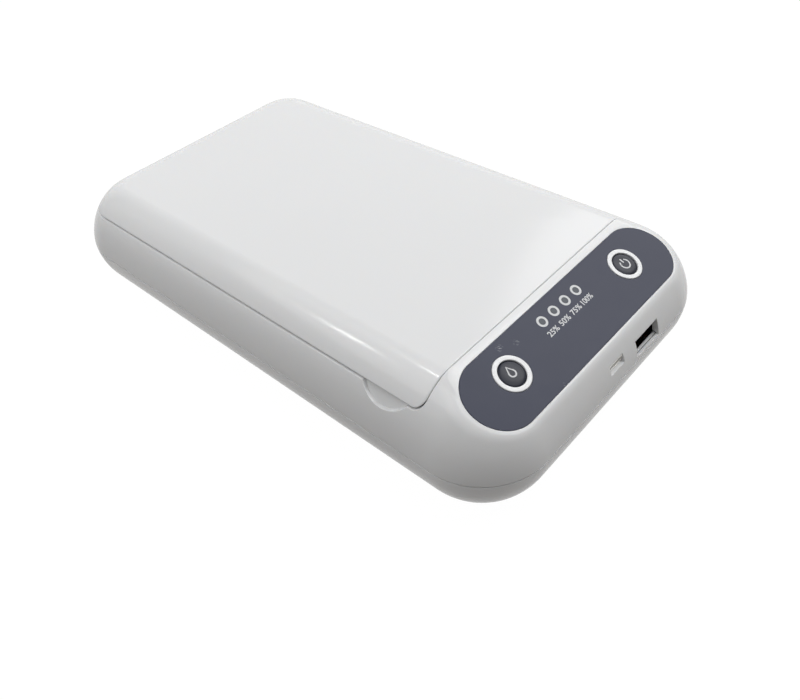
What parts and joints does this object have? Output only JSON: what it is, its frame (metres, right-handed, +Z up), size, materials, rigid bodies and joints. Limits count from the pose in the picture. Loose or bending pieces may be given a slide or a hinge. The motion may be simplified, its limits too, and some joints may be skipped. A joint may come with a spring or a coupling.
{
  "type": "ultraviolet sterilizer box",
  "caption": "Flat loaf-shaped white sterilizer box with a hinged lid over a mirrored lamp chamber and a slanted dark control strip with push buttons.",
  "frame": {"origin": "under the middle of the box, on the surface that its feet stand on", "axes": "+X towards the control panel end, +Z up, -Y towards the near long side"},
  "size_m": [0.219, 0.126, 0.0475],
  "materials": {
    "casing": "glossy white ABS with soft orange-peel",
    "liner": "satin white ABS",
    "mirror": "bright metallised reflector",
    "seal": "soft grey silicone",
    "steel": "nickel-plated steel",
    "magnet": "nickel-plated magnet",
    "lamp": "clear quartz tube",
    "holder": "off-white ceramic-filled plastic",
    "film": "dark blue-grey polycarbonate film",
    "cap": "smoked grey plastic",
    "ring": "pale grey-white plastic",
    "socket_black": "black moulded plastic",
    "light": "clear light-emitting diode lens",
    "board": "green circuit board",
    "felt": "cream felt",
    "rail": "clear acrylic",
    "foot": "grey rubber"
  },
  "bodies": {
    "base": {"lower_shell": "casing", "upper_shell": "casing", "scent_grille": "liner", "chamber_tray": "mirror", "tray_mirror": "mirror", "chamber_seal": "seal", "hinge_pin_near": "steel", "hinge_pin_far": "steel", "board_screw_near": "steel", "board_screw_far": "steel", "usb_a_shell": "steel", "micro_usb_shell": "steel", "case_screw_hinge_near": "steel", "case_screw_hinge_far": "steel", "case_screw_panel_near": "steel", "case_screw_panel_far": "steel", "body_magnet_near": "magnet", "body_magnet_far": "magnet", "control_film": "film", "scent_button_ring": "ring", "start_button_ring": "ring", "scent_button_switch": "socket_black", "start_button_switch": "socket_black", "lid_sensor": "socket_black", "usb_a_tongue": "socket_black", "micro_usb_tongue": "socket_black", "driver_transformer": "socket_black", "level_light_1": "light", "level_light_2": "light", "level_light_3": "light", "level_light_4": "light", "control_board": "board", "port_board": "board", "driver_board": "board", "scent_pad": "felt", "rest_rail_near": "rail", "rest_rail_far": "rail", "foot_hinge_near": "foot", "foot_hinge_far": "foot", "foot_panel_near": "foot", "foot_panel_far": "foot"},
    "lid": {"lid_shell": "casing", "lid_liner": "liner", "lid_mirror": "mirror", "uv_lamp_near": "lamp", "uv_lamp_far": "lamp", "lid_magnet_near": "magnet", "lid_magnet_far": "magnet", "lamp_holder_near_hinge_end": "holder", "lamp_holder_near_panel_end": "holder", "lamp_holder_far_hinge_end": "holder", "lamp_holder_far_panel_end": "holder"},
    "scent_button": {"scent_button_cap": "cap"},
    "start_button": {"start_button_cap": "cap"}
  },
  "joints": [
    {"name": "lid_hinge", "type": "hinge", "parent": "base", "child": "lid", "pos_m": [-0.1029, 0, 0.03665], "axis": [0, -1, 0], "range_deg": [0, 95]},
    {"name": "scent_button_press", "type": "slide", "parent": "base", "child": "scent_button", "axis": [-0.3469, 0, -0.9379], "range_m": [0, 0.0004], "stiffness_N_per_m": 800, "springref_m": -0.0005},
    {"name": "start_button_press", "type": "slide", "parent": "base", "child": "start_button", "axis": [-0.3469, 0, -0.9379], "range_m": [0, 0.0004], "stiffness_N_per_m": 800, "springref_m": -0.0005}
  ]
}
